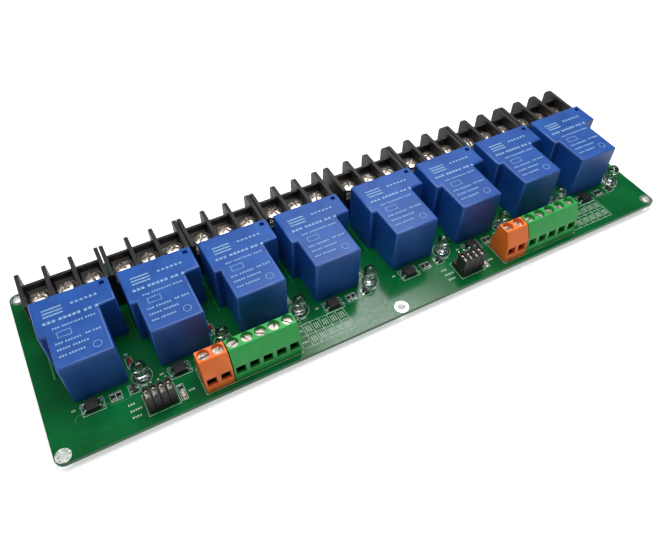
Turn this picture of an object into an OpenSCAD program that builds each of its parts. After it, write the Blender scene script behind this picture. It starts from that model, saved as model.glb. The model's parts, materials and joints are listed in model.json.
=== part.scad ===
// Relay module board: eight power relays on one long circuit board, each with a
// three-pole barrier block behind it and its driver parts in front of it, and two
// groups of input terminals along the front edge.
// Origin: centre of the corner-hole pattern, on the board's underside.
// +X along the board, +Y towards the barrier blocks, +Z up.

/* [Board] */
// Thickness of the circuit board
board_thickness = 1.6; // [1.2:0.2:2.4]
// Corner radius of the board
board_corner_r = 3; // [1:0.5:3.5]
// Board left over at each end, beyond the outermost channel
end_margin = 6.52; // [5.8:0.02:9]
// Gap between the fins and the mounting rings behind them
ring_clearance = 0.4; // [0.2:0.1:3]
// Diameter of the mounting holes, inside their rims
mounting_hole_d = 3.2; // [2.6:0.1:3.4]
// Mounting hole centre from the board's edges
mounting_hole_inset = 3; // [2.9:0.1:4]
// Width of the bare metal ring round each mounting hole
rim_width = 1.1; // [0.6:0.1:1.2]
// Thickness of the metal of those rings
rim_thickness = 0.08; // [0.05:0.01:0.12]
// Length of the component legs below the board
leg_length = 2.4; // [2:0.1:3]

/* [Channels] */
// Gap between neighbouring barrier blocks
block_gap = 0.48; // [0.2:0.02:1.2]
// Extra gap between the fourth and the fifth channel
mid_gap = 3.6; // [2:0.2:8]
// Shift of each relay along the board from its barrier block
relay_shift = 0.6; // [0:0.1:1]
// Gap between the input terminals' line and the driver parts
driver_gap = 0.9; // [0.6:0.1:2]
// Gap between the driver parts and the relays
relay_gap = 1.9; // [1.4:0.1:3]
// Gap between the relays and the barrier blocks
block_clearance = 1.9; // [0.6:0.1:3]

/* [Relay] */
// Overall width of a relay, over its two ears
relay_width = 27.4; // [26:0.1:28.4]
// Length of a relay, front to back
relay_length = 31.2; // [30:0.1:34]
// Height of a relay
relay_height = 20.4; // [17:0.2:26]
// Width of the left ear
left_ear_width = 2.5; // [1.5:0.1:3.5]
// Length of the left ear, from the back
left_ear_length = 16.7; // [12:0.1:20]
// Width of the right ear
right_ear_width = 5.95; // [5.7:0.05:7]
// Length of the right ear, from the back
right_ear_length = 11.6; // [9:0.1:12.4]
// Radius of the case's top edges and corners
relay_edge_r = 0.9; // [0.4:0.1:1.4]
// Side of the square vent dimple in the top
dimple_side = 1.8; // [1:0.1:2.2]
// Depth of the vent dimple
dimple_depth = 1.4; // [0.4:0.1:2]
// Middle of the vent dimple from the case's rear and right sides
dimple_inset = 2.5; // [2:0.1:3.5]
// Depth of the recess under the case
relay_foot_h = 0.7; // [0.4:0.1:1.2]
// Wall round the recess under the case
relay_wall = 1.1; // [0.8:0.1:1.6]
// Distance between the two coil legs
coil_leg_pitch = 15.2; // [12:0.1:16]
// Distance between the two outer contact legs
contact_leg_pitch = 14.6; // [12:0.1:15]
// Leg rows in from the case's front and back
relay_leg_inset = 3.4; // [2.8:0.1:5]
// Common leg ahead of the outer contact legs
common_leg_offset = 8.6; // [6:0.1:12]
// Width of a contact leg
contact_leg_w = 1.6; // [1.2:0.1:1.9]
// Thickness of a contact leg
contact_leg_t = 0.8; // [0.6:0.1:1]
// Diameter of a coil leg
coil_leg_d = 0.9; // [0.7:0.1:1.1]

/* [Barrier blocks] */
// Distance between the poles
pole_pitch = 9.5; // [9.4:0.1:11]
// Thickness of a fin
fin_thickness = 1.5; // [1:0.1:1.8]
// Height of the fins
fin_height = 17.3; // [16.6:0.1:22]
// Fins standing out behind the rear wall
fin_overhang = 6.1; // [5.2:0.1:9]
// Radius of a fin's rear upper corner
fin_corner_r = 3; // [1:0.5:5]
// Depth of the block, from its front face to the rear wall's back
block_depth = 11.8; // [11.4:0.1:14]
// Height of the wall behind the screws
rear_wall_height = 15.6; // [14.2:0.1:16.4]
// Thickness of the wall behind the screws
rear_wall = 1.1; // [0.8:0.1:1.5]
// Height of the low wall before the screws
front_wall_height = 12; // [9.4:0.1:14]
// Thickness of the low wall before the screws
front_wall = 1; // [0.7:0.1:1.2]
// Height of the body that carries the contacts, under the fins too
seat_height = 8.2; // [6:0.1:8.6]
// Width of a wire opening through the rear wall
wire_opening_w = 6.6; // [5:0.1:7]
// Thickness of the contact plates
contact_t = 0.8; // [0.5:0.1:1]
// Contact leg ahead of the screw
contact_leg_offset = 3.2; // [2.9:0.1:3.8]
// Gap between contact plate and clamp, for the wire
clamp_gap = 1.9; // [1:0.1:2]
// Side of the square clamp plates
clamp_side = 6.6; // [6:0.1:7.2]
// Thickness of the clamp plates
clamp_t = 0.9; // [0.6:0.1:1.2]
// Diameter of the screw heads
screw_head_d = 6.3; // [5.6:0.1:6.6]
// Height of the screw heads
screw_head_h = 2.5; // [1.8:0.1:2.8]
// Diameter of the screws' thread
screw_d = 3.4; // [2.6:0.1:4]

/* [Input terminals] */
// Distance between the poles
input_pitch = 5.08; // [5:0.02:5.5]
// Terminals back from the board's front edge
terminal_setback = 2.5; // [1:0.1:4]
// Depth of the housings at the board
terminal_depth = 10.6; // [10:0.1:12]
// Height of the housings
terminal_height = 14.1; // [13:0.1:17]
// How far the top's front edge lies behind the foot
front_lean = 3.1; // [2:0.1:3.3]
// How far the top's rear edge lies before the foot
back_lean = 2.3; // [1:0.1:2.5]
// Height of the ledge above the wire openings
ledge_height = 7.5; // [7.2:0.1:8]
// Height of the wire openings' lower edge
sill = 3.3; // [2.1:0.1:3.4]
// Thickness of the wall round the wire openings
front_skin = 1.3; // [1:0.1:2]
// Width of a wire opening
input_opening_w = 3.5; // [2.8:0.1:3.7]
// Height of a wire opening
input_opening_h = 3.3; // [2.6:0.1:3.6]
// Diameter of a screw well
well_d = 4.2; // [4.1:0.1:4.5]
// Screw head below the top of its well
well_recess = 1.5; // [0.5:0.1:2.5]
// Diameter of the screw heads
input_head_d = 3.9; // [3.4:0.1:4]
// Diameter of the screws' thread
input_screw_d = 2.5; // [2:0.1:2.6]
// Distance between the middles of the two groups
group_spacing = 127; // [122:1:130]
// Shift of both groups along the board
group_shift = 3.2; // [0:0.1:6]
// Gap between the two-pole and the five-pole housing
housing_gap = 0.4; // [0.1:0.1:1]

/* [Jumper headers] */
// Distance between the pins
pin_pitch = 2.54; // [2.5:0.01:2.6]
// Side of a square pin
pin_side = 0.64; // [0.5:0.02:0.7]
// Height of the pins above the board
pin_height = 7.9; // [7.4:0.1:8.4]
// Height of the header's base
header_base_h = 2.5; // [1.5:0.1:3]
// Header from the terminal group's left side to the header's middle
header_distance = 14.6; // [13.5:0.1:18]
// Header's front row back from the board's front edge
header_setback = 5.5; // [3:0.1:5.8]
// Gap round a jumper cap, to its neighbour
cap_gap = 0.24; // [0.1:0.02:0.5]
// Height of a jumper cap
cap_height = 6; // [5:0.1:6]

/* [Small parts] */
// Diameter of an indicator's lens
lens_d = 5; // [4:0.1:5.2]
// Height of an indicator
led_height = 8.6; // [8:0.1:11]
// Diameter of an indicator's foot flange
flange_d = 5.8; // [5.5:0.1:6]
// Indicator beside the relay's front body
led_distance = 4.5; // [3.4:0.1:5]
// Distance between an indicator's legs
led_leg_pitch = 2.54; // [2:0.02:2.6]
// Side of an indicator's square legs
led_leg_side = 0.5; // [0.4:0.05:0.6]
// Width of an optocoupler's body, along the board
opto_width = 4.4; // [4:0.1:5]
// Length of an optocoupler's body, across the board
opto_length = 4.1; // [4:0.1:5]
// Height of an optocoupler
opto_height = 2; // [1.6:0.1:2.6]
// Width over an optocoupler's leads
opto_span = 7.1; // [6.4:0.1:7.6]
// Distance between an optocoupler's leads
opto_lead_pitch = 2.54; // [2.3:0.02:2.8]
// Length of a chip
chip_length = 2; // [1.8:0.1:2.4]
// Width of a chip
chip_width = 1.25; // [1:0.05:1.4]
// Height of a chip
chip_height = 0.55; // [0.4:0.05:0.8]
// Length of a flyback diode
diode_length = 3.6; // [3.2:0.1:4]
// Diameter of a flyback diode
diode_d = 1.5; // [1.3:0.1:1.8]
// Width of a transistor's body, along the board
transistor_width = 1.3; // [1.1:0.1:1.5]
// Length of a transistor's body, across the board
transistor_length = 2.9; // [2.7:0.1:3.1]
// Height of a transistor
transistor_height = 1; // [0.9:0.1:1.2]

/* [Hidden] */
channel_count = 8;
pole_count = 3;
group_count = 2;
supply_poles = 2;
input_poles = 5;
header_columns = 4;
header_rows = 3;
capped_rows = 2;
cut = 1;
$fn = 48;

board_green = "#0b6b39";
relay_blue = "#1f57a5";
block_black = "#2a2628";
supply_orange = "#f07028";
input_green = "#23a84c";
steel = "#c9c4bc";
tin = "#d6d8d4";
clear_lens = "#e8ece8";
chip_black = "#242424";

// Board and the rows on it, in the row's frame
channel_width = pole_count * pole_pitch + fin_thickness;
channel_pitch = channel_width + block_gap;
board_length = channel_count * channel_pitch - block_gap + mid_gap + 2 * end_margin;
relay_front = terminal_setback + terminal_depth + driver_gap + opto_length + relay_gap;
block_front = relay_front + relay_length + block_clearance;
ring_r = mounting_hole_d / 2 + rim_width;
board_width = block_front + block_depth + fin_overhang + ring_clearance + ring_r + mounting_hole_inset;
hole_span_x = board_length - 2 * mounting_hole_inset;
hole_span_y = board_width - 2 * mounting_hole_inset;
front_edge = -board_width / 2;
top = board_thickness;
hole_r = mounting_hole_d / 2;
short_leg = leg_length - 0.3;

// Relay
relay_left = -relay_width / 2 + left_ear_width;
relay_right = relay_width / 2 - right_ear_width;
relay_middle = (relay_left + relay_right) / 2;
back_leg_y = relay_length - relay_leg_inset;
leg_clearance = 0.3;

// Barrier block: y runs back from the block's front face
contact_top = seat_height + contact_t;
clamp_bottom = contact_top + clamp_gap;
head_bottom = clamp_bottom + clamp_t;
well_front = front_wall;
well_back = block_depth - rear_wall;
screw_y = (well_front + well_back) / 2;
well_length = well_back - well_front;
contact_fit = 0.15;
contact_width = pole_pitch - fin_thickness - 2 * contact_fit;
contact_length = well_length - 2 * contact_fit;
guard_r = contact_width / 2;
guard_t = 0.45;
guard_height = 4.2;
thread_play = 0.2;
bore_play = 0.8;
slot_play = 0.2;
drive_w = 1;
drive_h = 1.1;
drive_cross = 0.6;
head_dome_r = 9;
first_turn = 25;
turn_per_channel = 50;
turn_per_pole = 70;
block_leg_w = 1.4;
block_leg_t = 0.8;
bore_depth = 5;
wire_opening_h = clamp_gap + clamp_t + 0.9;

// Input terminals: y runs back from the housing's front foot
lip = 0.4;
top_edge = 0.3;
back_foot = 3.3;
funnel_flare = 0.3;
funnel_depth = 0.6;
input_slot_w = 0.7;
input_slot_h = 0.7;
terminal_turns = [5, 40, 25, 120, 150, 60, 135];
input_bore_play = 0.6;
cage_wall = 0.7;
cage_depth = 3.7;
cage_fit = 0.2;
input_leg_w = 1;
input_leg_t = 0.8;
cavity_w = input_pitch - 1;
cavity_back = terminal_depth - 1.6;
input_leg_y = cavity_back - cage_fit - input_leg_t / 2;
input_screw_y = input_leg_y - input_leg_t / 2 - cage_fit - cage_depth / 2;
cavity_front = input_screw_y - cage_depth / 2 - cage_fit;
cage_w = cavity_w - cage_fit;
cage_bottom = sill - cage_wall;
cage_top = cage_bottom + input_opening_h + 2 * cage_wall + cage_fit;
cavity_top = cage_top + 0.6;
tongue_t = 0.6;
tongue_top = cage_top - cage_wall - 0.3;
input_head_top = terminal_height - well_recess;
input_head_h = 1.5;
supply_width = supply_poles * input_pitch;
input_width = input_poles * input_pitch;
group_width = supply_width + housing_gap + input_width;

// Headers
cap_lift = 0.1;
cap_bottom = header_base_h + cap_lift;
base_notch = 0.5;
cap_wall = 0.4;
cap_w = pin_pitch - cap_gap;
cap_l = capped_rows * pin_pitch - cap_gap;
clip_t = 0.2;
clip_height = 3.4;

// Small parts
opto_x = -6.1;
transistor_x = 8.1;
diode_x = relay_right + 2.05;
resistor_xs = [0.75, 2.85];
driver_y = front_edge + terminal_setback + terminal_depth + driver_gap + opto_length / 2;
diode_behind_front = 6.9;
diode_y = front_edge + relay_front + diode_behind_front;
led_before_front = 0.3;
led_y = front_edge + relay_front - led_before_front;
flange_flat = 0.25;
led_flange_h = 1;
led_post_h = 4.6;
led_cup_h = 1.4;
led_bond_h = 0.8;
led_cup_start = 0.1;
led_bond_gap = 0.4;
power_led_distance = 7.4;
power_led_setback = 5.6;
power_led_y = front_edge + power_led_setback;
power_resistor_setback = 8.8;
power_resistor_y = front_edge + power_resistor_setback;
opto_standoff = 0.15;
opto_lead_w = 0.6;
opto_lead_t = 0.22;
opto_dot_d = 0.7;
opto_dot_inset = 0.9;
opto_dot_depth = 0.15;
transistor_standoff = 0.1;
transistor_lead_reach = 0.6;
transistor_lead_w = 0.45;
transistor_lead_t = 0.15;
transistor_lead_offset = 0.95;
body_draft = 0.12;
lead_knee = 0.4;
// Length of a metal cap on a diode, and on a chip that lies lengthways across the board
diode_cap = 0.5;
diode_step = 0.1;
chip_cap = 0.35;
cone_height = 1.1;
cone_foot = 0.1;
cone_spread = 0.9;

function channel_x(k) =
    (k - (channel_count + 1) / 2) * channel_pitch + (k > channel_count / 2 ? 1 : -1) * mid_gap / 2;
function relay_x(k) = channel_x(k) + relay_shift;
function pole_x(k, i) = channel_x(k) + (i - (pole_count + 1) / 2) * pole_pitch;
function group_x(g) = (g == 1 ? -1 : 1) * group_spacing / 2 + group_shift - group_width / 2;
function supply_x(g, i) = group_x(g) + (i - 0.5) * input_pitch;
function input_x(g, i) = group_x(g) + supply_width + housing_gap + (i - 0.5) * input_pitch;
function terminal_xs(g) =
    concat([for (i = [1:supply_poles]) supply_x(g, i)], [for (i = [1:input_poles]) input_x(g, i)]);
function header_x(g) = group_x(g) - header_distance;
function header_pin_x(g, c) = header_x(g) + (c - (header_columns + 1) / 2) * pin_pitch;
function header_pin_y(r) = front_edge + header_setback + (r - 1) * pin_pitch;
function led_x(k) = relay_x(k) + relay_right + led_distance;

// Leg places: [x, y], in the row's frame
function relay_contact_legs(k) = [
    [relay_x(k) + relay_middle - contact_leg_pitch / 2, front_edge + relay_front + back_leg_y],
    [relay_x(k) + relay_middle + contact_leg_pitch / 2, front_edge + relay_front + back_leg_y],
    [relay_x(k) + relay_middle, front_edge + relay_front + back_leg_y - common_leg_offset]
];
function relay_coil_legs(k) = [
    for (side = [-1, 1])
        [relay_x(k) + relay_middle + side * coil_leg_pitch / 2,
         front_edge + relay_front + relay_leg_inset]
];
function block_legs(k) =
    [for (i = [1:pole_count]) [pole_x(k, i), front_edge + block_front + screw_y - contact_leg_offset]];
function terminal_legs(g) =
    [for (x = terminal_xs(g)) [x, front_edge + terminal_setback + input_leg_y]];
function header_legs(g) = [
    for (c = [1:header_columns])
        for (r = [1:header_rows]) [header_pin_x(g, c), header_pin_y(r)]
];
function led_legs(k) = [for (side = [-1, 1]) [led_x(k) + side * led_leg_pitch / 2, led_y]];

// Leg hole diameters: a leg's diagonal plus its clearance
function leg_hole_d(w, t) = sqrt(w * w + t * t) + leg_clearance;
contact_leg_hole = leg_hole_d(contact_leg_w, contact_leg_t);
coil_leg_hole = coil_leg_d + leg_clearance;
block_leg_hole = leg_hole_d(block_leg_w, block_leg_t);
terminal_leg_hole = leg_hole_d(input_leg_w, input_leg_t);
header_leg_hole = leg_hole_d(pin_side, pin_side);
led_leg_hole = leg_hole_d(led_leg_side, led_leg_side);

// ---- Shared shapes ----

// Rectangle with round corners, from [x0, y0] to [x1, y1]
module round_rectangle(x0, y0, x1, y1, r) {
    translate([x0 + r, y0]) square([x1 - x0 - 2 * r, y1 - y0]);
    translate([x0, y0 + r]) square([x1 - x0, y1 - y0 - 2 * r]);
    for (x = [x0 + r, x1 - r]) for (y = [y0 + r, y1 - r]) translate([x, y]) circle(r);
}

// Outline with only its two upper corners round
module round_top(x0, x1, h, r) {
    translate([x0, 0]) square([x1 - x0, h - r]);
    translate([x0 + r, 0]) square([x1 - x0 - 2 * r, h]);
    for (x = [x0 + r, x1 - r]) translate([x, h - r]) circle(r);
}

// Box standing at z = 0 with its upper edges and upright corners rounded
module soft_box(x0, y0, x1, y1, h, r) {
    intersection() {
        linear_extrude(h) round_rectangle(x0, y0, x1, y1, r);
        translate([0, y1, 0]) rotate([90, 0, 0]) linear_extrude(y1 - y0) round_top(x0, x1, h, r);
        translate([x0, 0, 0]) rotate([90, 0, 90]) linear_extrude(x1 - x0) round_top(y0, y1, h, r);
    }
}

// Profile drawn as [y, z], drawn out along X about the middle
module along_x(width) {
    translate([-width / 2, 0, 0]) rotate([90, 0, 90]) linear_extrude(width) children();
}

// Box centred on x = 0 and y = 0, standing at z = 0
module post(w, l, h) {
    translate([-w / 2, -l / 2, 0]) cube([w, l, h]);
}

module drill(places, d) {
    for (p = places) translate([p[0], p[1], -cut]) cylinder(d = d, h = top + 2 * cut);
}

// ---- Board ----

module board() {
    plated_r = hole_r + rim_thickness;
    color(board_green) difference() {
        linear_extrude(board_thickness)
            round_rectangle(-board_length / 2, front_edge, board_length / 2, -front_edge, board_corner_r);
        drill(mounting_places(), 2 * plated_r);
        for (k = [1:channel_count]) {
            drill(relay_contact_legs(k), contact_leg_hole);
            drill(relay_coil_legs(k), coil_leg_hole);
            drill(block_legs(k), block_leg_hole);
            drill(led_legs(k), led_leg_hole);
        }
        for (g = [1:group_count]) {
            drill(terminal_legs(g), terminal_leg_hole);
            drill(header_legs(g), header_leg_hole);
        }
    }
}

// Four corner holes and two in the middle of the long edges
function mounting_places() = [
    for (x = [-1, 0, 1]) for (y = [-1, 1]) [x * hole_span_x / 2, y * hole_span_y / 2]
];

// Plated eyelets: a thin tube through the board with a flat ring on each face
module hole_rims() {
    color(tin) for (p = mounting_places()) translate([p[0], p[1], 0]) difference() {
        union() {
            cylinder(r = hole_r + rim_thickness, h = top);
            for (z = [-rim_thickness, top])
                translate([0, 0, z]) cylinder(r = ring_r, h = rim_thickness);
        }
        translate([0, 0, -cut]) cylinder(r = hole_r, h = top + 2 * cut);
    }
}

// ---- Relays ----

// Sealed case: a narrow front body with an ear on each side at the back.
// x from the middle of its width, y back from its front face.
module relay(k) {
    inner_left = relay_left + relay_wall;
    inner_right = relay_right - relay_wall;
    color(relay_blue) translate([relay_x(k), front_edge + relay_front, top]) difference() {
        union() {
            soft_box(relay_left, 0, relay_right, relay_length, relay_height, relay_edge_r);
            soft_box(-relay_width / 2, relay_length - left_ear_length, relay_middle, relay_length,
                relay_height, relay_edge_r);
            soft_box(relay_middle, relay_length - right_ear_length, relay_width / 2, relay_length,
                relay_height, relay_edge_r);
        }
        translate([inner_left, relay_wall, -cut])
            cube([inner_right - inner_left, relay_length - 2 * relay_wall, relay_foot_h + cut]);
        relay_dimple();
    }
}

// Small square vent dimple near the rear right corner of the top
module relay_dimple() {
    translate([relay_width / 2 - dimple_inset, relay_length - dimple_inset, relay_height - dimple_depth])
        post(dimple_side, dimple_side, dimple_depth + cut);
}

module relay_pins() {
    shank = relay_foot_h + top + leg_length;
    color(tin) translate([0, 0, -leg_length]) for (k = [1:channel_count]) {
        for (p = relay_contact_legs(k)) translate(p) post(contact_leg_w, contact_leg_t, shank);
        for (p = relay_coil_legs(k)) translate(p) cylinder(d = coil_leg_d, h = shank);
    }
}

// ---- Barrier blocks ----

module barrier_block(k) {
    color(block_black) translate([channel_x(k), front_edge + block_front, top]) difference() {
        union() {
            along_x(channel_width) square([block_depth + fin_overhang, seat_height]);
            along_x(channel_width) square([front_wall, front_wall_height]);
            translate([0, well_back, 0])
                along_x(channel_width) square([rear_wall, rear_wall_height]);
            for (i = [0:pole_count])
                translate([(i - pole_count / 2) * pole_pitch, 0, 0])
                    along_x(fin_thickness) fin_outline();
        }
        for (i = [1:pole_count])
            translate([(i - (pole_count + 1) / 2) * pole_pitch, 0, 0]) pole_cuts();
    }
}

// Side view of a fin, with its rear upper corner round
module fin_outline() {
    length = block_depth + fin_overhang;
    square([length - fin_corner_r, fin_height]);
    square([length, fin_height - fin_corner_r]);
    translate([length - fin_corner_r, fin_height - fin_corner_r]) circle(fin_corner_r);
}

// Wire opening, screw bore and leg slot of one pole
module pole_cuts() {
    translate([-wire_opening_w / 2, well_back - cut, contact_top])
        cube([wire_opening_w, rear_wall + 2 * cut, wire_opening_h]);
    translate([0, screw_y, seat_height - bore_depth])
        cylinder(d = screw_d + bore_play, h = bore_depth + cut);
    translate([0, screw_y - contact_leg_offset, -cut])
        post(block_leg_w + slot_play, block_leg_t + slot_play, seat_height + 2 * cut);
}

// Contact plate with its leg, its threaded hole and a curved guard beside the screw
module barrier_contact() {
    color(tin) difference() {
        union() {
            translate([0, screw_y, seat_height]) post(contact_width, contact_length, contact_t);
            translate([0, screw_y - contact_leg_offset, -top - leg_length])
                post(block_leg_w, block_leg_t, top + leg_length + seat_height);
            translate([0, screw_y, contact_top]) contact_guard();
        }
        translate([0, screw_y, 0]) cylinder(d = screw_d + thread_play, h = contact_top + cut);
    }
}

// Upright strip that follows a quarter of a circle round the screw, on its right
module contact_guard() {
    intersection() {
        difference() {
            cylinder(r = guard_r, h = guard_height);
            translate([0, 0, -cut]) cylinder(r = guard_r - guard_t, h = guard_height + 2 * cut);
        }
        translate([guard_r / 2, -guard_r, 0]) cube([guard_r, 2 * guard_r, guard_height]);
    }
}

module each_pole() {
    for (k = [1:channel_count]) for (i = [1:pole_count])
        translate([pole_x(k, i), front_edge + block_front, top]) children();
}

// The slots stand at a different angle on every pole
module barrier_screws() {
    color(steel) for (k = [1:channel_count]) for (i = [1:pole_count])
        translate([pole_x(k, i), front_edge + block_front, top])
            barrier_screw(first_turn + turn_per_channel * k + turn_per_pole * i);
}

// Clamp plate under the screw head: square on the left, round where it clears the guard
module barrier_clamp() {
    round_r = guard_r - guard_t - contact_fit;
    translate([0, screw_y, clamp_bottom]) difference() {
        union() {
            translate([-clamp_side / 2, -clamp_side / 2, 0]) cube([clamp_side / 2, clamp_side, clamp_t]);
            cylinder(r = round_r, h = clamp_t);
        }
        translate([0, 0, -cut]) cylinder(d = screw_d + thread_play, h = clamp_t + 2 * cut);
    }
}

// Pan-head screw with one long slot and a short cross
module barrier_screw(turn) {
    shank_end = seat_height - bore_depth + 1;
    translate([0, screw_y, 0]) difference() {
        union() {
            translate([0, 0, shank_end]) cylinder(d = screw_d, h = head_bottom - shank_end + 0.1);
            translate([0, 0, head_bottom]) intersection() {
                cylinder(d = screw_head_d, h = screw_head_h);
                translate([0, 0, screw_head_h - head_dome_r]) sphere(head_dome_r);
            }
        }
        translate([0, 0, head_bottom + screw_head_h - drive_h]) rotate(turn) {
            post(screw_head_d + cut, drive_w, drive_h + cut);
            post(drive_w, screw_head_d * drive_cross, drive_h + cut);
        }
    }
}

// ---- Input terminals ----

// Side view of a housing: leaning front with a ledge, leaning back
module terminal_profile() {
    polygon([
        [0, 0],
        [2 * lip, ledge_height],
        [lip, ledge_height + lip],
        [front_lean, terminal_height - top_edge],
        [front_lean + top_edge, terminal_height],
        [terminal_depth - back_lean - top_edge, terminal_height],
        [terminal_depth - back_lean, terminal_height - top_edge],
        [terminal_depth, back_foot],
        [terminal_depth, 0]
    ]);
}

module terminal_housing(poles) {
    translate([poles * input_pitch / 2, 0, 0]) difference() {
        along_x(poles * input_pitch) terminal_profile();
        for (i = [1:poles])
            translate([(i - (poles + 1) / 2) * input_pitch, 0, 0]) input_pole_cuts();
    }
}

// Screw well, cage cavity, wire opening with its flared edge, and the open space behind it
module input_pole_cuts() {
    along_x(input_opening_w + 2 * funnel_flare) polygon([
        [-cut, sill - funnel_flare],
        [funnel_depth, sill],
        [funnel_depth, sill + input_opening_h],
        [-cut, sill + input_opening_h + funnel_flare]
    ]);
    translate([-input_opening_w / 2, 0, sill])
        cube([input_opening_w, cavity_front + cut, input_opening_h]);
    translate([-input_opening_w / 2, front_skin, -cut])
        cube([input_opening_w, cavity_front + cut - front_skin, sill + input_opening_h + cut]);
    translate([-cavity_w / 2, cavity_front, -cut])
        cube([cavity_w, cavity_back - cavity_front, cavity_top + cut]);
    translate([0, input_screw_y, cavity_top - cut])
        cylinder(d = input_screw_d + input_bore_play, h = terminal_height);
    translate([0, input_screw_y, input_head_top - input_head_h]) cylinder(d = well_d, h = terminal_height);
}

module each_input_pole() {
    for (g = [1:group_count]) for (x = terminal_xs(g))
        translate([x, front_edge + terminal_setback, top]) children();
}

// Square cage that the screw draws up against the tongue
module terminal_cage() {
    translate([0, input_screw_y, cage_bottom]) difference() {
        post(cage_w, cage_depth, cage_top - cage_bottom);
        translate([0, 0, cage_wall])
            post(cage_w - 2 * cage_wall, cage_depth + cut, cage_top - cage_bottom - 2 * cage_wall);
        translate([0, 0, cage_wall + cut]) cylinder(d = input_screw_d + thread_play, h = terminal_height);
    }
}

module terminal_screws() {
    color(steel) for (g = [1:group_count]) for (i = [0:supply_poles + input_poles - 1])
        translate([terminal_xs(g)[i], front_edge + terminal_setback, top]) terminal_screw(terminal_turns[i]);
}

// Slotted screw with its slot turned by the given angle
module terminal_screw(turn) {
    translate([0, input_screw_y, 0]) difference() {
        union() {
            translate([0, 0, tongue_top])
                cylinder(d = input_screw_d, h = input_head_top - tongue_top - 0.1);
            translate([0, 0, input_head_top - input_head_h]) cylinder(d = input_head_d, h = input_head_h);
        }
        translate([0, 0, input_head_top - input_slot_h]) rotate(turn)
            post(input_head_d + cut, input_slot_w, input_slot_h + cut);
    }
}

// Tongue inside the cage, with the leg that goes down behind it
module terminal_pin() {
    tongue_front = cavity_front + 2 * cage_fit;
    tongue_back = input_leg_y + input_leg_t / 2;
    tongue_w = cage_w - 2 * cage_wall - cage_fit;
    translate([-tongue_w / 2, tongue_front, tongue_top - tongue_t])
        cube([tongue_w, tongue_back - tongue_front, tongue_t]);
    translate([0, input_leg_y, -top - leg_length])
        post(input_leg_w, input_leg_t, top + leg_length + tongue_top);
}

// ---- Jumper headers ----

// Moulded base, notched between the pins along its sides
module header_base(g) {
    w = header_columns * pin_pitch;
    l = header_rows * pin_pitch;
    color(chip_black) translate([header_x(g), header_pin_y((header_rows + 1) / 2), top]) difference() {
        post(w, l, header_base_h);
        for (c = [0:header_columns]) for (side = [-1, 1])
            translate([(c - header_columns / 2) * pin_pitch, side * l / 2, -cut])
                rotate(45) post(base_notch, base_notch, header_base_h + 2 * cut);
        for (p = header_legs(g))
            translate([p[0] - header_x(g), p[1] - header_pin_y((header_rows + 1) / 2), -cut])
                post(pin_side, pin_side, header_base_h + 2 * cut);
    }
}

module header_pins(g) {
    color(tin) for (p = header_legs(g))
        translate([p[0], p[1], -short_leg]) post(pin_side, pin_side, short_leg + top + pin_height);
}

module each_cap(g) {
    for (c = [1:header_columns])
        translate([header_pin_x(g, c), header_pin_y((capped_rows + 1) / 2), top + cap_bottom]) children();
}

// Jumper cap: a small open-topped box over two pins
module jumper_cap() {
    difference() {
        post(cap_w, cap_l, cap_height);
        translate([0, 0, -cut]) post(cap_w - 2 * cap_wall, cap_l - 2 * cap_wall, cap_height + 2 * cut);
    }
}

// Folded spring clip inside a cap, open at both ends over the pins
module jumper_clip() {
    translate([0, 0, (cap_height - clip_height) / 2]) difference() {
        post(cap_w - 2 * cap_wall, cap_l - 2 * cap_wall, clip_height);
        for (side = [-1, 1]) translate([0, side * pin_pitch / 2, -cut])
            post(pin_side + clip_t, pin_side + clip_t, clip_height + 2 * cut);
    }
}

// ---- Indicators ----

// Round clear lens with its flange; the lead frame inside it is left out of the solid
module led(k) {
    r = lens_d / 2;
    flat = flange_d / 2 - flange_flat;
    color(clear_lens) translate([led_x(k), led_y, top]) difference() {
        union() {
            cylinder(d = lens_d, h = led_height - r);
            translate([0, 0, led_height - r]) sphere(r);
            intersection() {
                cylinder(d = flange_d, h = led_flange_h);
                translate([-flange_d, -flange_d, 0]) cube([flange_d + flat, 2 * flange_d, led_flange_h]);
            }
        }
        led_frame();
    }
}

// Two flat posts: the broad one carries the cup, the narrow one the bond
module led_frame() {
    for (side = [-1, 1]) translate([side * led_leg_pitch / 2, 0, -top - short_leg])
        post(led_leg_side, led_leg_side, top + short_leg + led_post_h);
    translate([led_cup_start, -led_leg_side / 2, led_post_h - led_cup_h])
        cube([led_leg_pitch / 2, led_leg_side, led_cup_h]);
    translate([-led_leg_pitch / 2, -led_leg_side / 2, led_post_h - led_bond_h])
        cube([led_leg_pitch / 2 - led_bond_gap, led_leg_side, led_bond_h]);
}

// ---- Surface parts ----

module each_channel(x) {
    for (k = [1:channel_count]) translate([relay_x(k) + x, driver_y, top]) children();
}

// Moulded body, widest at its parting line, standing off the board
module moulded_body(w, l, h, standoff) {
    draft = body_draft * h;
    middle = (h + standoff) / 2;
    rotate([90, 0, 0]) translate([0, 0, -l / 2]) linear_extrude(l) polygon([
        [-w / 2 + draft, standoff],
        [-w / 2, middle],
        [-w / 2 + draft, h],
        [w / 2 - draft, h],
        [w / 2, middle],
        [w / 2 - draft, standoff]
    ]);
}

// Bent lead from the body's side down to its foot on the board, towards +X
module gull_lead(body_half, reach, w, t, height) {
    knee = body_half + (reach - body_half) * lead_knee;
    foot = knee + t;
    rotate([90, 0, 0]) translate([0, 0, -w / 2]) linear_extrude(w) polygon([
        [body_half, height],
        [knee, height],
        [foot, height - t],
        [foot, t],
        [reach, t],
        [reach, 0],
        [knee, 0],
        [knee, height - t],
        [body_half, height - t]
    ]);
}

module optocoupler() {
    difference() {
        moulded_body(opto_width, opto_length, opto_height, opto_standoff);
        translate([opto_dot_inset - opto_width / 2, opto_dot_inset - opto_length / 2, 0])
            translate([0, 0, opto_height - opto_dot_depth]) cylinder(d = opto_dot_d, h = cut);
    }
}

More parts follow.
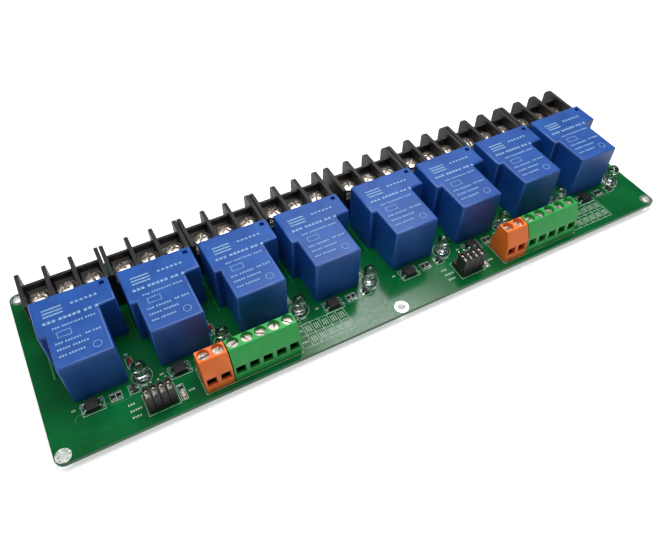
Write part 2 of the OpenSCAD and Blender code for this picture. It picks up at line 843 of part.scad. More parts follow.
module optocoupler_leads() {
    lead_top = (opto_height + opto_standoff + opto_lead_t) / 2;
    color(tin) each_channel(opto_x) for (turn = [0, 180]) for (side = [-1, 1])
        rotate(turn) translate([0, side * opto_lead_pitch / 2, 0])
            gull_lead(opto_width / 2, opto_span / 2, opto_lead_w, opto_lead_t, lead_top);
}

module transistor_lead() {
    half = transistor_width / 2;
    lead_top = (transistor_height + transistor_standoff + transistor_lead_t) / 2;
    gull_lead(half, half + transistor_lead_reach, transistor_lead_w, transistor_lead_t, lead_top);
}

module transistor_leads() {
    color(tin) each_channel(transistor_x) {
        transistor_lead();
        for (side = [-1, 1]) translate([0, side * transistor_lead_offset, 0]) rotate(180) transistor_lead();
    }
}

// Glass tube diode lying across the board, between two metal caps
module each_diode() {
    for (k = [1:channel_count])
        translate([relay_x(k) + diode_x, diode_y, top + diode_d / 2]) rotate([90, 0, 0]) children();
}

module diode_glass() {
    translate([0, 0, -diode_length / 2 + diode_cap])
        cylinder(d = diode_d - diode_step, h = diode_length - 2 * diode_cap);
}

module diode_caps() {
    color(tin) each_diode() for (side = [-1, 1])
        translate([0, 0, side * (diode_length - diode_cap) / 2 - diode_cap / 2])
            cylinder(d = diode_d, h = diode_cap);
}

// Chip parts lie lengthways across the board
module each_resistor() {
    for (x = resistor_xs) each_channel(x) children();
    for (g = [1:group_count])
        translate([group_x(g) - power_led_distance, power_resistor_y, top]) children();
}

module each_power_led() {
    for (g = [1:group_count])
        translate([group_x(g) - power_led_distance, power_led_y, top]) children();
}

module chip_body() {
    post(chip_width, chip_length - 2 * chip_cap, chip_height);
}

module chip_caps() {
    for (side = [-1, 1]) translate([0, side * (chip_length - chip_cap) / 2, 0])
        post(chip_width, chip_cap, chip_height);
}

// ---- Solder ----

// Cone of solder round a leg, under the board
module solder_cone(hole_d, w, t) {
    translate([0, 0, -cone_height]) difference() {
        cylinder(d1 = hole_d + cone_foot, d2 = hole_d + cone_spread, h = cone_height);
        if (t == 0) translate([0, 0, -cut]) cylinder(d = w, h = cone_height + 2 * cut);
        else translate([0, 0, -cut]) post(w, t, cone_height + 2 * cut);
    }
}

module solder(places, hole_d, w, t) {
    for (p = places) translate([p[0], p[1], 0]) solder_cone(hole_d, w, t);
}

module solder_joints() {
    color(tin) {
        for (k = [1:channel_count]) {
            solder(relay_contact_legs(k), contact_leg_hole, contact_leg_w, contact_leg_t);
            solder(relay_coil_legs(k), coil_leg_hole, coil_leg_d, 0);
            solder(block_legs(k), block_leg_hole, block_leg_w, block_leg_t);
            solder(led_legs(k), led_leg_hole, led_leg_side, led_leg_side);
        }
        for (g = [1:group_count]) {
            solder(terminal_legs(g), terminal_leg_hole, input_leg_w, input_leg_t);
            solder(header_legs(g), header_leg_hole, pin_side, pin_side);
        }
    }
}

// ---- Nodes ----

module terminal(g, first_x, poles) {
    translate([first_x, front_edge + terminal_setback, top]) terminal_housing(poles);
}

board();
hole_rims();
for (k = [1:channel_count]) {
    relay(k);
    barrier_block(k);
    led(k);
}
relay_pins();
each_pole() barrier_contact();  // barrier_contacts
color(steel) each_pole() barrier_clamp();  // barrier_clamps
barrier_screws();
for (g = [1:group_count]) {
    color(supply_orange) terminal(g, group_x(g), supply_poles);
    color(input_green) terminal(g, group_x(g) + supply_width + housing_gap, input_poles);
    header_base(g);
    header_pins(g);
    color(chip_black) each_cap(g) jumper_cap();
}
color(tin) each_input_pole() terminal_cage();  // terminal_cages
terminal_screws();
color(tin) each_input_pole() terminal_pin();  // terminal_pins
color(steel) for (g = [1:group_count]) each_cap(g) jumper_clip();  // jumper_clips
color(tin) for (k = [1:channel_count]) translate([led_x(k), led_y, top]) led_frame();  // led_leads
color(chip_black) each_channel(opto_x) optocoupler();  // optocouplers
optocoupler_leads();
color(chip_black) each_channel(transistor_x)  // transistors
        moulded_body(transistor_width, transistor_length, transistor_height, transistor_standoff);
transistor_leads();
color("#a04a30") each_diode() diode_glass();  // flyback_diodes
diode_caps();
color(chip_black) each_resistor() chip_body();  // resistors
color(tin) each_resistor() chip_caps();  // resistor_caps
color("#e8c8c0") each_power_led() chip_body();  // power_leds
solder_joints();
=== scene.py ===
import json
import math

import bmesh
import bpy
from mathutils import Matrix, Vector

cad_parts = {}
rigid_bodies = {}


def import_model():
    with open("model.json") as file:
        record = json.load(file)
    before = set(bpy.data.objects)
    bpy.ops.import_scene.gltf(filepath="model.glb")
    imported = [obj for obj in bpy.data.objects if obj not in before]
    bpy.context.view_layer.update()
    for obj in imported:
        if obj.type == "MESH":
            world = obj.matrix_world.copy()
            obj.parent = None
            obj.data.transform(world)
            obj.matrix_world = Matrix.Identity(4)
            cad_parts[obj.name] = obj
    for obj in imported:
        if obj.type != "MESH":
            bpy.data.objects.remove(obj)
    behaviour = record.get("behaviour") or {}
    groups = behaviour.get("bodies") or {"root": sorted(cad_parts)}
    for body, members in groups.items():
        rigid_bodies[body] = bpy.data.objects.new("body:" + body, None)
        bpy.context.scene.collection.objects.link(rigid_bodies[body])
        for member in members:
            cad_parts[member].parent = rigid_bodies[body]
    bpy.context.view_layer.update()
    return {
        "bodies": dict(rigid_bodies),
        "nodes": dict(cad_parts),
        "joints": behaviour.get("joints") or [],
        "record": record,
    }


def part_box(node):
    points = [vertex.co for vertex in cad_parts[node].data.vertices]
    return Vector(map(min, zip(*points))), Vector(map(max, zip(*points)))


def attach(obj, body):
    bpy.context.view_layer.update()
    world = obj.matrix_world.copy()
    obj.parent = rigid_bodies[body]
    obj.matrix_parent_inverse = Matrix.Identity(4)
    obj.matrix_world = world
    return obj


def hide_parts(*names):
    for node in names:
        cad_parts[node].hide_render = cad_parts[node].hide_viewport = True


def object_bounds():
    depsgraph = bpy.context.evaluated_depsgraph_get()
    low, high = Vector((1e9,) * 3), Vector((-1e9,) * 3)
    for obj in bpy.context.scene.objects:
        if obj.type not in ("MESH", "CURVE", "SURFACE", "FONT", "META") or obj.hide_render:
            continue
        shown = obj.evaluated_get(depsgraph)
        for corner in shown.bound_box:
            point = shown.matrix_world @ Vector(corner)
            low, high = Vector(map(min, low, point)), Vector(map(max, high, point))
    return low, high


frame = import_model()
mm = 0.001
nodes = frame["nodes"]
channels = range(1, 9)
groups = (1, 2)


# ---- small helpers ----

def deselectAll():
    if bpy.context.object and bpy.context.object.mode != "OBJECT":
        bpy.ops.object.mode_set(mode="OBJECT")
    bpy.ops.object.select_all(action="DESELECT")


def pick(piece):
    deselectAll()
    piece.select_set(True)
    bpy.context.view_layer.objects.active = piece


def linear(hexValue, alpha=1.0):
    parts = [int(hexValue[i:i + 2], 16) / 255 for i in (1, 3, 5)]
    return [c / 12.92 if c <= 0.04045 else ((c + 0.055) / 1.055) ** 2.4 for c in parts] + [alpha]


# one node with its values and its links: values by socket, links as socket: output
def addNode(material, kind, values=None, links=None, **settings):
    node = material.node_tree.nodes.new(kind)
    for name, value in settings.items():
        setattr(node, name, value)
    for socket, value in (values or {}).items():
        node.inputs[socket].default_value = value
    for socket, output in (links or {}).items():
        material.node_tree.links.new(output, node.inputs[socket])
    return node


def newMaterial(name, colour, **sockets):
    material = bpy.data.materials.new(name)
    material.use_nodes = True
    material.node_tree.nodes.clear()
    shader = addNode(material, "ShaderNodeBsdfPrincipled", {"Base Color": linear(colour)})
    for socket, value in sockets.items():
        shader.inputs[socket.replace("_", " ")].default_value = value
    addNode(material, "ShaderNodeOutputMaterial", links={"Surface": shader.outputs["BSDF"]})
    return material, shader


def objectPlace(material):
    return addNode(material, "ShaderNodeTexCoord").outputs["Object"]


# noise whose lumps are about size millimetres across
def noise(material, size, detail=2.0, roughness=0.5):
    return addNode(material, "ShaderNodeTexNoise",
                   {"Scale": 1 / (size * mm), "Detail": detail, "Roughness": roughness},
                   {"Vector": objectPlace(material)})


# spreads a pattern's 0..1 into a range and plugs it into a shader's socket
def vary(material, shader, socket, pattern, low, high, fromLow=0.3, fromHigh=0.7):
    spread = addNode(material, "ShaderNodeMapRange",
                     {"From Min": fromLow, "From Max": fromHigh, "To Min": low, "To Max": high},
                     {"Value": pattern})
    material.node_tree.links.new(spread.outputs["Result"], shader.inputs[socket])


def tint(material, shader, pattern, dark, light, fromLow=0.3, fromHigh=0.7):
    ramp = addNode(material, "ShaderNodeValToRGB", links={"Fac": pattern})
    ramp.color_ramp.elements[0].position = fromLow
    ramp.color_ramp.elements[0].color = linear(dark)
    ramp.color_ramp.elements[1].position = fromHigh
    ramp.color_ramp.elements[1].color = linear(light)
    material.node_tree.links.new(ramp.outputs["Color"], shader.inputs["Base Color"])


def bump(material, shader, pattern, height, strength=1.0):
    node = addNode(material, "ShaderNodeBump", {"Strength": strength, "Distance": height * mm},
                   {"Height": pattern})
    material.node_tree.links.new(node.outputs["Normal"], shader.inputs["Normal"])


# ---- materials ----

# moulded PBT: satin blue, a fine spark-eroded grain, drawn coarser than the real 0.1 mm
def blueMouldedPbt():
    material, shader = newMaterial("blueMouldedPbt", "#1A52A4", Roughness=0.42, IOR=1.5)
    cloud = noise(material, 9).outputs["Fac"]
    tint(material, shader, cloud, "#154A9C", "#1E5AAE")
    vary(material, shader, "Roughness", noise(material, 0.6).outputs["Fac"], 0.34, 0.46)
    bump(material, shader, noise(material, 0.35, 4).outputs["Fac"], 0.012)
    return material


# glossy solder mask over copper: green with a slow change of depth and faint weave
def greenSolderMask():
    material, shader = newMaterial("greenSolderMask", "#04602E", Roughness=0.16, IOR=1.5,
                                   Specular_IOR_Level=0.3)
    cloud = noise(material, 22, 3).outputs["Fac"]
    tint(material, shader, cloud, "#035428", "#066A34")
    vary(material, shader, "Roughness", noise(material, 1.5).outputs["Fac"], 0.12, 0.22)
    bump(material, shader, noise(material, 0.8, 2).outputs["Fac"], 0.006)
    return material


# black glass-filled polyamide: matt, slightly warm, with flow marks
def blackPolyamide():
    material, shader = newMaterial("blackPolyamide", "#1C191B", Roughness=0.5, IOR=1.53)
    tint(material, shader, noise(material, 4, 4).outputs["Fac"], "#171517", "#221F21")
    vary(material, shader, "Roughness", noise(material, 0.9).outputs["Fac"], 0.42, 0.6)
    bump(material, shader, noise(material, 0.3, 4).outputs["Fac"], 0.014)
    return material


# moulded polyamide of the supply terminals: bright orange, light spreads in it a little
def orangePolyamide():
    material, shader = newMaterial("orangePolyamide", "#F87820", Roughness=0.38, IOR=1.53)
    tint(material, shader, noise(material, 5, 3).outputs["Fac"], "#F4701C", "#FC8028")
    vary(material, shader, "Roughness", noise(material, 0.7).outputs["Fac"], 0.32, 0.46)
    bump(material, shader, noise(material, 0.35, 3).outputs["Fac"], 0.01)
    return material


# moulded polyamide of the input terminals: mid green, the same grain as the orange
def greenPolyamide():
    material, shader = newMaterial("greenPolyamide", "#1CA846", Roughness=0.38, IOR=1.53)
    tint(material, shader, noise(material, 5, 3).outputs["Fac"], "#18A040", "#22B04C")
    vary(material, shader, "Roughness", noise(material, 0.7).outputs["Fac"], 0.32, 0.46)
    bump(material, shader, noise(material, 0.35, 3).outputs["Fac"], 0.01)
    return material


# zinc-plated steel screws: a warm pale metal with a mottled, slightly dull bloom
def zincPlatedSteel():
    material, shader = newMaterial("zincPlatedSteel", "#D8CEC4", Metallic=1.0, Roughness=0.3)
    tint(material, shader, noise(material, 0.9, 4).outputs["Fac"], "#BEB0A4", "#E6DED4")
    vary(material, shader, "Roughness", noise(material, 0.5, 3).outputs["Fac"], 0.2, 0.42)
    bump(material, shader, noise(material, 0.5, 3).outputs["Fac"], 0.02)
    return material


# nickel-plated brass strip: brighter than the screws, rolled smooth
def nickelPlatedBrass():
    material, shader = newMaterial("nickelPlatedBrass", "#D6D0C6", Metallic=1.0, Roughness=0.25)
    vary(material, shader, "Roughness", noise(material, 1.2, 3).outputs["Fac"], 0.18, 0.34)
    tint(material, shader, noise(material, 2.0, 3).outputs["Fac"], "#C8C0B4", "#E0DAD0")
    return material


# hot-tinned copper: legs, rims and lead frames, pale and slightly wavy
def tinnedCopper():
    material, shader = newMaterial("tinnedCopper", "#DDE2DA", Metallic=1.0, Roughness=0.28)
    vary(material, shader, "Roughness", noise(material, 0.8, 3).outputs["Fac"], 0.2, 0.38)
    tint(material, shader, noise(material, 1.6, 3).outputs["Fac"], "#CCD4CA", "#E8EDE4")
    bump(material, shader, noise(material, 0.9, 2).outputs["Fac"], 0.02)
    return material


# tin-lead solder: bright, set with a faintly frosted skin
def brightSolder():
    material, shader = newMaterial("brightSolder", "#D4D8D6", Metallic=1.0, Roughness=0.24)
    vary(material, shader, "Roughness", noise(material, 0.6, 4).outputs["Fac"], 0.15, 0.4)
    bump(material, shader, noise(material, 0.7, 3).outputs["Fac"], 0.03)
    return material


# gold-flashed header pins: a pale straw metal, drawn bright
def flashedBrass():
    material, shader = newMaterial("flashedBrass", "#D9D4C4", Metallic=1.0, Roughness=0.24)
    vary(material, shader, "Roughness", noise(material, 0.7, 3).outputs["Fac"], 0.18, 0.34)
    return material


# transfer-moulded epoxy of the small chips: black, fine sandy surface
def blackEpoxy():
    material, shader = newMaterial("blackEpoxy", "#141415", Roughness=0.55, IOR=1.52)
    tint(material, shader, noise(material, 1.4, 3).outputs["Fac"], "#101011", "#1A1A1B")
    bump(material, shader, noise(material, 0.22, 4).outputs["Fac"], 0.02)
    return material


# glazed ceramic chips: near black, with a glassy top coat
def glazedCeramic():
    material, shader = newMaterial("glazedCeramic", "#17171A", Roughness=0.25, IOR=1.5)
    vary(material, shader, "Roughness", noise(material, 0.5, 3).outputs["Fac"], 0.18, 0.35)
    return material


# drawn red glass tube of the diodes: dark red with a shine
def redGlass():
    material, shader = newMaterial("redGlass", "#7A2418", Roughness=0.1, IOR=1.5)
    tint(material, shader, noise(material, 1.0, 2).outputs["Fac"], "#5E1A12", "#963020")
    return material


# pale pink resin of the power lights
def pinkResin():
    material, shader = newMaterial("pinkResin", "#E6B8A8", Roughness=0.3, IOR=1.5)
    tint(material, shader, noise(material, 0.6, 2).outputs["Fac"], "#D8A090", "#F0CCC0")
    return material


# clear cast epoxy of the round lights: clear as glass, a trace of grey
def clearEpoxy():
    material, shader = newMaterial("clearEpoxy", "#F2F6F2", Roughness=0.04, IOR=1.5,
                                   Transmission_Weight=1.0)
    vary(material, shader, "Roughness", noise(material, 1.2, 2).outputs["Fac"], 0.02, 0.07)
    return material


nodeFinish = {
    "board": greenSolderMask(),
    "hole_rims": tinnedCopper(),
    "relay_pins": None, "led_leads": None, "optocoupler_leads": None, "transistor_leads": None,
    "diode_caps": None, "resistor_caps": None, "terminal_pins": None,
    "barrier_contacts": nickelPlatedBrass(),
    "barrier_clamps": zincPlatedSteel(),
    "optocouplers": blackEpoxy(),
    "flyback_diodes": redGlass(),
    "resistors": glazedCeramic(),
    "power_leds": pinkResin(),
    "solder_joints": brightSolder(),
}
for name in nodeFinish:
    nodeFinish[name] = nodeFinish[name] or nodeFinish["hole_rims"]
nodeFinish["barrier_screws"] = nodeFinish["terminal_screws"] = nodeFinish["barrier_clamps"]
nodeFinish["terminal_cages"] = nodeFinish["barrier_contacts"]
nodeFinish["transistors"] = nodeFinish["optocouplers"]
bluePbt, black, orange, green = blueMouldedPbt(), blackPolyamide(), orangePolyamide(), greenPolyamide()
lens, pinMetal = clearEpoxy(), flashedBrass()
for k in channels:
    nodeFinish[f"relay_{k}"] = bluePbt
    nodeFinish[f"barrier_block_{k}"] = black
    nodeFinish[f"led_{k}"] = lens
for g in groups:
    nodeFinish[f"supply_terminal_{g}"] = orange
    nodeFinish[f"input_terminal_{g}"] = green
    nodeFinish[f"header_base_{g}"] = nodeFinish[f"jumper_caps_{g}"] = black
    nodeFinish[f"header_pins_{g}"] = pinMetal
nodeFinish["jumper_clips"] = pinMetal
print("materials ready")


# ---- the carried-over nodes: finish, and worn-in edges on the moulded ones ----

edgeWidth = {"barrier_block": 0.16, "supply_terminal": 0.2, "input_terminal": 0.2, "header_base": 0.08,
             "jumper_caps": 0.1, "barrier_screws": 0.12, "terminal_screws": 0.08, "barrier_clamps": 0.1,
             "barrier_contacts": 0.05, "optocouplers": 0.08, "transistors": 0.05, "resistors": 0.04,
             "resistor_caps": 0.06, "header_pins": 0.06, "board": 0.08}


def dressNode(name, part):
    part.data.materials.clear()
    part.data.materials.append(nodeFinish[name])
    width = next((w for start, w in edgeWidth.items() if name.startswith(start)), 0)
    weld = part.modifiers.new("weld", "WELD")
    weld.merge_threshold = 0.0005 * mm
    if width:
        flat = part.modifiers.new("flatFaces", "DECIMATE")
        flat.decimate_type = "DISSOLVE"
        flat.angle_limit = math.radians(0.6)
        edge = part.modifiers.new("edges", "BEVEL")
        edge.width = width * mm
        edge.segments = 2
        edge.limit_method = "ANGLE"
        edge.angle_limit = math.radians(40)
        edge.use_clamp_overlap = True


for name, part in nodes.items():
    dressNode(name, part)
print("nodes dressed")


# ---- making pieces ----

# a node's lowest and highest corners in millimetres
def boxOf(node):
    low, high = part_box(node)
    return Vector(low) / mm, Vector(high) / mm


boardLow, boardHigh = boxOf("board")
boardTop = boardHigh.z


def chooseFaces(test):
    mesh = bmesh.from_edit_mesh(bpy.context.object.data)
    for face in mesh.faces:
        face.select_set(test(face.calc_center_median() / mm, face.normal))
    mesh.select_flush(True)
    bmesh.update_edit_mesh(bpy.context.object.data)


def chooseEdges(test):
    mesh = bmesh.from_edit_mesh(bpy.context.object.data)
    for edge in mesh.edges:
        edge.select_set(test([v.co / mm for v in edge.verts]))
    mesh.select_flush(False)
    bmesh.update_edit_mesh(bpy.context.object.data)


# names a finished piece, gives it its place, its finish and the body it rides on
def finishPiece(piece, name, material, smoothAngle=35):
    pick(piece)
    bpy.ops.object.transform_apply(location=True, rotation=True, scale=True)
    if smoothAngle:
        bpy.ops.object.shade_smooth_by_angle(angle=math.radians(smoothAngle))
    piece.name = piece.data.name = name
    piece.data.materials.clear()
    piece.data.materials.append(material)
    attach(piece, "root")
    return piece


def copyPiece(piece, shift):
    copy = piece.copy()
    copy.data = piece.data.copy()
    bpy.context.scene.collection.objects.link(copy)
    copy.location = piece.location + Vector(shift) * mm
    return copy


def joinPieces(pieces):
    deselectAll()
    for piece in pieces:
        piece.select_set(True)
    bpy.context.view_layer.objects.active = pieces[0]
    bpy.ops.object.join()
    return bpy.context.object


# flat ribbons laid on a face: each line is its points in millimetres and whether it closes
def layLines(lines, width, thickness, height):
    curve = bpy.data.curves.new("lines", "CURVE")
    curve.dimensions = "2D"
    curve.fill_mode = "NONE"
    curve.bevel_depth = width / 2 * mm
    curve.bevel_resolution = 0
    curve.use_fill_caps = True
    for points, closed in lines:
        spline = curve.splines.new("POLY")
        spline.points.add(len(points) - 1)
        for place, (x, y) in zip(spline.points, points):
            place.co = (x * mm, y * mm, 0, 1)
        spline.use_cyclic_u = closed
    ribbon = bpy.data.objects.new("lines", curve)
    bpy.context.scene.collection.objects.link(ribbon)
    pick(ribbon)
    bpy.ops.object.convert(target="MESH")
    ribbon = bpy.context.object
    ribbon.scale.z = thickness / width
    ribbon.location.z = height * mm
    pick(ribbon)
    bpy.ops.object.transform_apply(location=True, rotation=True, scale=True)
    return ribbon


def rectangle(x0, y0, x1, y1):
    return [(x0, y0), (x1, y0), (x1, y1), (x0, y1)], True


def circle(x, y, r, count=28):
    turn = 2 * math.pi / count
    return [(x + r * math.cos(turn * i), y + r * math.sin(turn * i)) for i in range(count)], True


# a row of short blocks, as plain as a redacted word: counts gives the blocks in each word
def blockRow(x, y, counts, blockWidth, gap, wordGap):
    row = []
    for count in counts:
        for i in range(count):
            row.append(([(x, y), (x + blockWidth, y)], False))
            x += blockWidth + gap
        x += wordGap
    return row


# ---- inks and masked copper ----

# pad-printed pale blue ink, a thin dry film with pinholes
def paleBlueInk():
    material, shader = newMaterial("paleBlueInk", "#86B0E6", Roughness=0.55, IOR=1.5)
    tint(material, shader, noise(material, 0.5, 3).outputs["Fac"], "#6C9AD8", "#9CC4F0")
    return material


# screen-printed white ink on the mask, greenish where it is thin
def whiteInk():
    material, shader = newMaterial("whiteInk", "#C8DCCC", Roughness=0.5, IOR=1.5)
    tint(material, shader, noise(material, 0.7, 3).outputs["Fac"], "#A8C8B0", "#DCEADF")
    return material


# solder mask over a copper track: lighter green than over the bare board
def maskOverCopper():
    material, shader = newMaterial("maskOverCopper", "#128045", Roughness=0.18, IOR=1.52)
    tint(material, shader, noise(material, 3, 2).outputs["Fac"], "#107A40", "#168A4C")
    return material


blueInk, printInk, coveredCopper = paleBlueInk(), whiteInk(), maskOverCopper()


# ---- indicators ----

indicator = {"segments": 32, "rings": 16, "lensRadius": 2.5, "flangeRadius": 2.9, "flangeHeight": 1.0,
             "flat": 2.65, "edge": 0.12}


# a clear lens cast round the lead frame: dome, barrel and a flange with one flat
def castLens(k):
    low, high = boxOf(f"led_{k}")
    x, y = (low.x + high.x - (indicator["flangeRadius"] - indicator["flat"])) / 2, (low.y + high.y) / 2
    x = high.x - indicator["flangeRadius"]
    domeBase = high.z - indicator["lensRadius"]
    flangeTop = low.z + indicator["flangeHeight"]
    bpy.ops.mesh.primitive_uv_sphere_add(segments=indicator["segments"], ring_count=indicator["rings"],
                                         radius=indicator["lensRadius"] * mm,
                                         location=(x * mm, y * mm, domeBase * mm))
    lensPiece = bpy.context.object
    bpy.ops.object.transform_apply(location=True, rotation=True, scale=True)
    bpy.ops.object.mode_set(mode="EDIT")
    bpy.ops.mesh.select_all(action="DESELECT")
    chooseFaces(lambda centre, normal: centre.z < domeBase)
    bpy.ops.mesh.delete(type="FACE")
    chooseEdges(lambda ends: all(abs(p.z - domeBase) < 0.01 for p in ends))
    bpy.ops.mesh.extrude_region_move(
        TRANSFORM_OT_translate={"value": (0, 0, (flangeTop - domeBase) * mm)})
    bpy.ops.mesh.extrude_region_move(TRANSFORM_OT_translate={"value": (0, 0, 0)})
    spread = indicator["flangeRadius"] / indicator["lensRadius"]
    bpy.ops.transform.resize(value=(spread, spread, 1), center_override=(x * mm, y * mm, flangeTop * mm))
    bpy.ops.mesh.extrude_region_move(
        TRANSFORM_OT_translate={"value": (0, 0, (low.z - flangeTop) * mm)})
    bpy.ops.mesh.edge_face_add()
    bpy.ops.mesh.select_all(action="SELECT")
    bpy.ops.mesh.bisect(plane_co=((x - indicator["flat"]) * mm, 0, 0), plane_no=(-1, 0, 0),
                        use_fill=True, clear_outer=True)
    bpy.ops.mesh.select_all(action="SELECT")
    bpy.ops.mesh.normals_make_consistent(inside=False)
    bpy.ops.object.mode_set(mode="OBJECT")
    edge = lensPiece.modifiers.new("edge", "BEVEL")
    edge.width = indicator["edge"] * mm
    edge.segments = 2
    edge.limit_method = "ANGLE"
    edge.angle_limit = math.radians(50)
    bpy.ops.object.modifier_apply(modifier="edge")
    return lensPiece


firstLens = castLens(1)
firstCorner = boxOf("led_1")[0]
lenses = [firstLens] + [copyPiece(firstLens, boxOf(f"led_{k}")[0] - firstCorner) for k in channels[1:]]
for k, lensPiece in zip(channels, lenses):
    finishPiece(lensPiece, f"indicatorLens_{k}", lens, 40)
    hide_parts(f"led_{k}")
print("indicators ready")


# ---- relay tops: generic blocks and plain shapes where the real case is printed ----

relayPrint = {"thickness": 0.03, "badge": (-10.2, 22.6, 3.2), "letterGap": 0.3}


def printRelayTop(k):
    low, high = boxOf(f"relay_{k}")
    x, y, z = (low.x + high.x) / 2, low.y, high.z
    thin = relayPrint["thickness"]
    gap = relayPrint["letterGap"]
    large = blockRow(x - 10.9, y + 19.6, (3, 5, 2, 1), 1.1, 0.42, 0.75)
    name = blockRow(x - 0.6, y + 24.6, (6,), 1.0, 0.6, 0)
    middle = blockRow(x - 8.5, y + 16.4, (3, 8, 4), 0.6, gap, 0.5)
    small = (blockRow(x - 9.0, y + 9.8, (3, 6), 0.6, gap, 0.55)
             + blockRow(x - 9.0, y + 7.2, (5, 6), 0.6, gap, 0.55)
             + blockRow(x - 9.0, y + 4.5, (3, 6), 0.6, gap, 0.55)
             + blockRow(x + 0.8, y + 10.0, (2, 3), 0.7, gap, 0.4))
    badge = [([(x - 10.2, y + 22.4 + 1.45 * i), (x - 3.6, y + 22.4 + 1.45 * i)], False) for i in range(3)]
    frame = [rectangle(x - 7.6, y + 12.1, x - 3.1, y + 14.4), circle(x + 3.2, y + 4.2, 1.35)]
    rows = [layLines(large, 1.7, thin, z), layLines(name, 1.35, thin, z), layLines(middle, 1.05, thin, z),
            layLines(small, 1.15, thin, z), layLines(badge, 0.95, thin, z), layLines(frame, 0.32, thin, z)]
    finishPiece(joinPieces(rows), f"relayPrint_{k}", blueInk, 0)


for k in channels:
    printRelayTop(k)
print("relay tops ready")


# ---- jumper clips: the bright folded edge seen in the top of each cap ----

clipCurl = {"stripWidth": 0.2, "stripHeight": 0.7, "below": 0.25}


def foldClipCurls(g):
    low, high = boxOf(f"jumper_caps_{g}")
    pitch = (high.x - low.x + 0.24) / 4
    y = (low.y + high.y) / 2
    lines = []
    for column in range(4):
        x = low.x + pitch * (column + 0.5) - 0.12
        lines.append(([(x - 0.35, y + 1.55), (x + 0.2, y + 1.7), (x + 0.45, y + 1.3), (x + 0.3, y + 0.45),
                       (x + 0.02, y + 0.1), (x + 0.4, y - 0.4), (x + 0.45, y - 1.3), (x + 0.2, y - 1.7),
                       (x - 0.3, y - 1.6)], False))
    strip = layLines(lines, clipCurl["stripWidth"], clipCurl["stripHeight"],
                     high.z - clipCurl["below"] - clipCurl["stripHeight"] / 2)
    finishPiece(strip, f"clipCurls_{g}", pinMetal, 30)


for g in groups:
    foldClipCurls(g)
print("jumper clips ready")


# ---- solder pads under the small parts ----

pad = {"thickness": 0.05, "corner": 0.1}


# one bevelled plate per pad, its middle and size in millimetres
def layPad(x, y, w, l):
    bpy.ops.mesh.primitive_cube_add(size=1, location=(x * mm, y * mm, (boardTop + pad["thickness"] / 2) * mm),
                                    scale=(w * mm, l * mm, pad["thickness"] * mm))
    plate = bpy.context.object
    bpy.ops.object.transform_apply(location=True, rotation=True, scale=True)
    return plate


def padPlaces():
    places = []
    for k in channels:
        low, high = boxOf(f"relay_{k}")
        x = (low.x + high.x) / 2
        opto, opener = -6.1, 8.1
        y = (boxOf("optocouplers")[0].y + boxOf("optocouplers")[1].y) / 2
        places += [(x + opto + sx * 3.45, y + sy * 1.27, 1.5, 1.1) for sx in (-1, 1) for sy in (-1, 1)]
        places += [(x + cx, y + sy * 1.0, 1.35, 0.9) for cx in (0.75, 2.85) for sy in (-1, 1)]
        places += [(x + opener + 1.15, y, 0.9, 0.8), (x + opener - 1.15, y + 0.95, 0.9, 0.8),
                   (x + opener - 1.15, y - 0.95, 0.9, 0.8)]
        glassY = (boxOf("flyback_diodes")[0].y + boxOf("flyback_diodes")[1].y) / 2
        places += [(x + 9.8, glassY + sy * 1.7, 1.7, 1.0) for sy in (-1, 1)]
    for g in groups:
        x = boxOf(f"supply_terminal_{g}")[0].x - 7.4
        for y in (boardLow.y + 5.6, boardLow.y + 8.8):
            places += [(x, y + sy * 1.0, 1.35, 0.9) for sy in (-1, 1)]
    return places


plates = [layPad(*place) for place in padPlaces()]
padPiece = joinPieces(plates)
edge = padPiece.modifiers.new("edge", "BEVEL")
edge.width = pad["corner"] * mm
edge.segments = 1
edge.use_clamp_overlap = True
bpy.ops.object.modifier_apply(modifier="edge")
finishPiece(padPiece, "solderPads", nodeFinish["solder_joints"], 30)
print("pads ready")


# ---- board print: outlines, circles, tables and label bars ----

boardInk = {"line": 0.22, "thickness": 0.03, "bar": 0.95}


